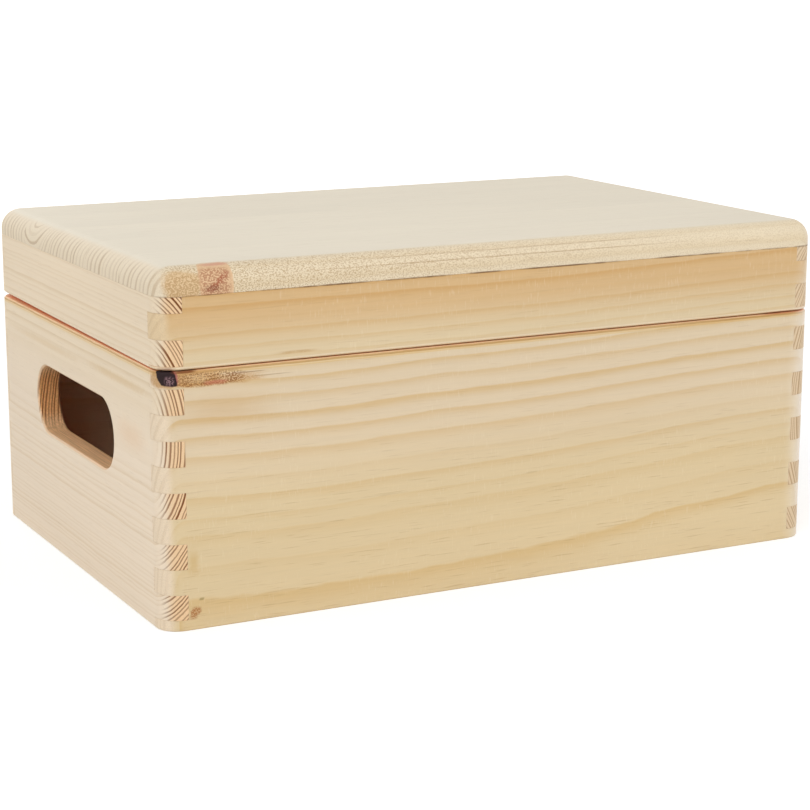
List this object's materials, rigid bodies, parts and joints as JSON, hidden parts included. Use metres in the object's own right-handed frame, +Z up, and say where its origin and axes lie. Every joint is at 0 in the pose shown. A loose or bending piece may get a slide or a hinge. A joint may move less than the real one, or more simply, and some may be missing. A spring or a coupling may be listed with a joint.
{
  "type": "storage box",
  "caption": "Finger-jointed pine storage box with a hinged lid and a hand hole in each end, for papers and keepsakes.",
  "frame": {"origin": "centre of the underside, on the surface the box stands on", "axes": "+X along the front to the right, +Y from the front to the hinged back, +Z up"},
  "size_m": [0.3, 0.2036, 0.14],
  "materials": {
    "pine": "unfinished planed and sanded pine",
    "plywood": "unfinished thin plywood",
    "hinge_brass": "brass-plated sheet",
    "screw_brass": "brass-plated screws"
  },
  "bodies": {
    "box": {"front_board": "pine", "back_board": "pine", "left_board": "pine", "right_board": "pine", "bottom_panel": "plywood", "left_hinge_body_leaf": "hinge_brass", "left_hinge_pin": "hinge_brass", "right_hinge_body_leaf": "hinge_brass", "right_hinge_pin": "hinge_brass", "body_hinge_screws": "screw_brass"},
    "lid": {"lid_front_board": "pine", "lid_back_board": "pine", "lid_left_board": "pine", "lid_right_board": "pine", "lid_stave_1": "pine", "lid_stave_2": "pine", "lid_stave_3": "pine", "lid_stave_4": "pine", "lid_stave_5": "pine", "lid_hinge_screws": "screw_brass", "left_hinge_lid_leaf": "hinge_brass", "right_hinge_lid_leaf": "hinge_brass"}
  },
  "joints": [
    {"name": "lid_hinge", "type": "hinge", "parent": "box", "child": "lid", "pos_m": [0, 0.1019, 0.102], "axis": [-1, 0, 0], "range_deg": [0, 180]}
  ]
}
